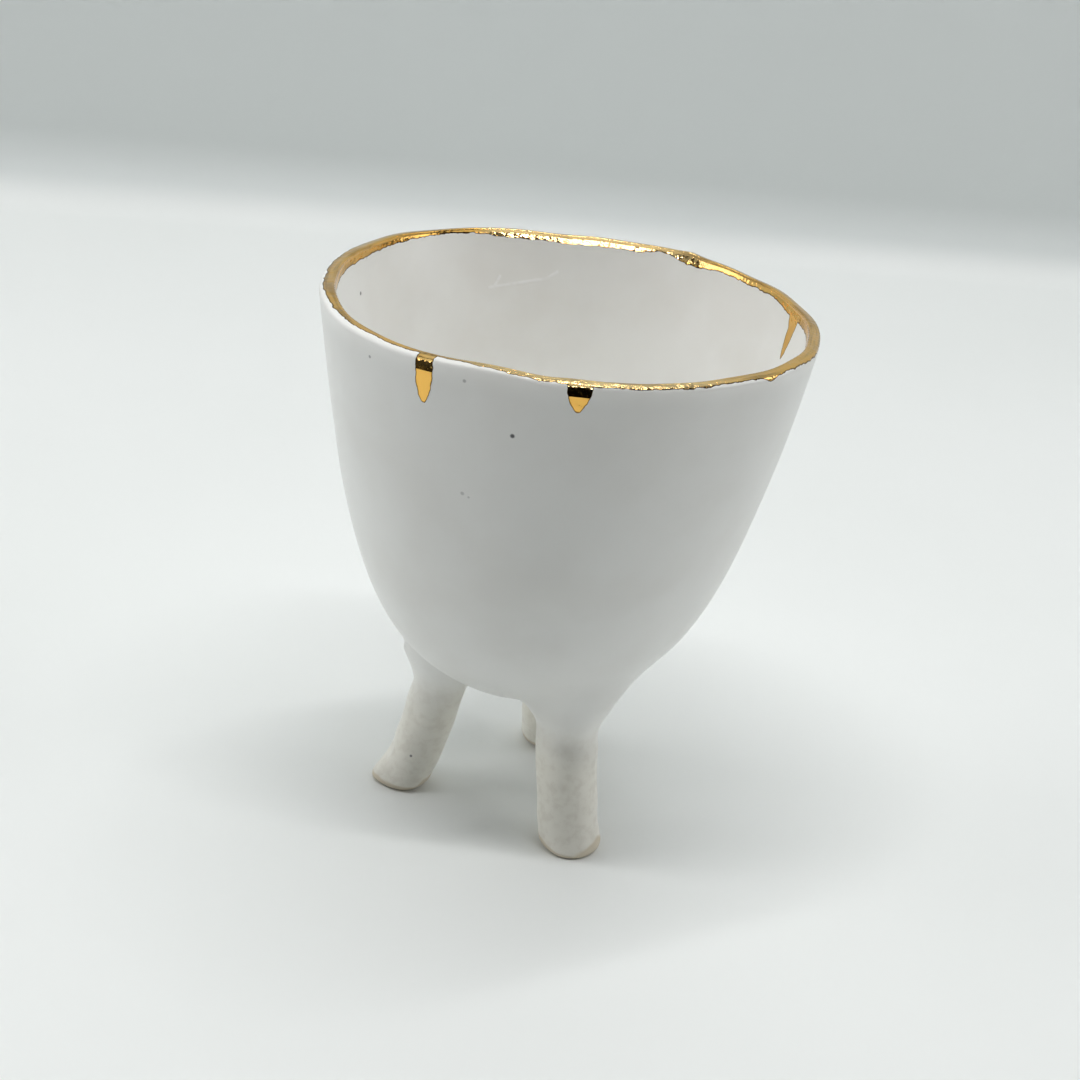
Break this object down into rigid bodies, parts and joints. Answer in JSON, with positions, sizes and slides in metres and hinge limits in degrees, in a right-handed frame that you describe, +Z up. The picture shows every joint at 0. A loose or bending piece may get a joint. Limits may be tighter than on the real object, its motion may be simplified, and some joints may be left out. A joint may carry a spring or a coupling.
{
  "type": "footed nut bowl",
  "caption": "Deep egg-shaped handmade ceramic bowl on short splayed coil legs, white glaze with a gold lustre lip and small gold drips.",
  "frame": {"origin": "on the surface the feet stand on, under the middle of the bowl's box", "axes": "+Z up, out of the mouth of the bowl; -Y is the side that shows most; one leg points close to -X"},
  "size_m": [0.1046, 0.1042, 0.1225],
  "materials": {
    "white_glaze": "glossy white glaze over pale clay, gold lustre on the lip"
  },
  "bodies": {
    "root": {"footed_bowl": "white_glaze"}
  },
  "joints": []
}
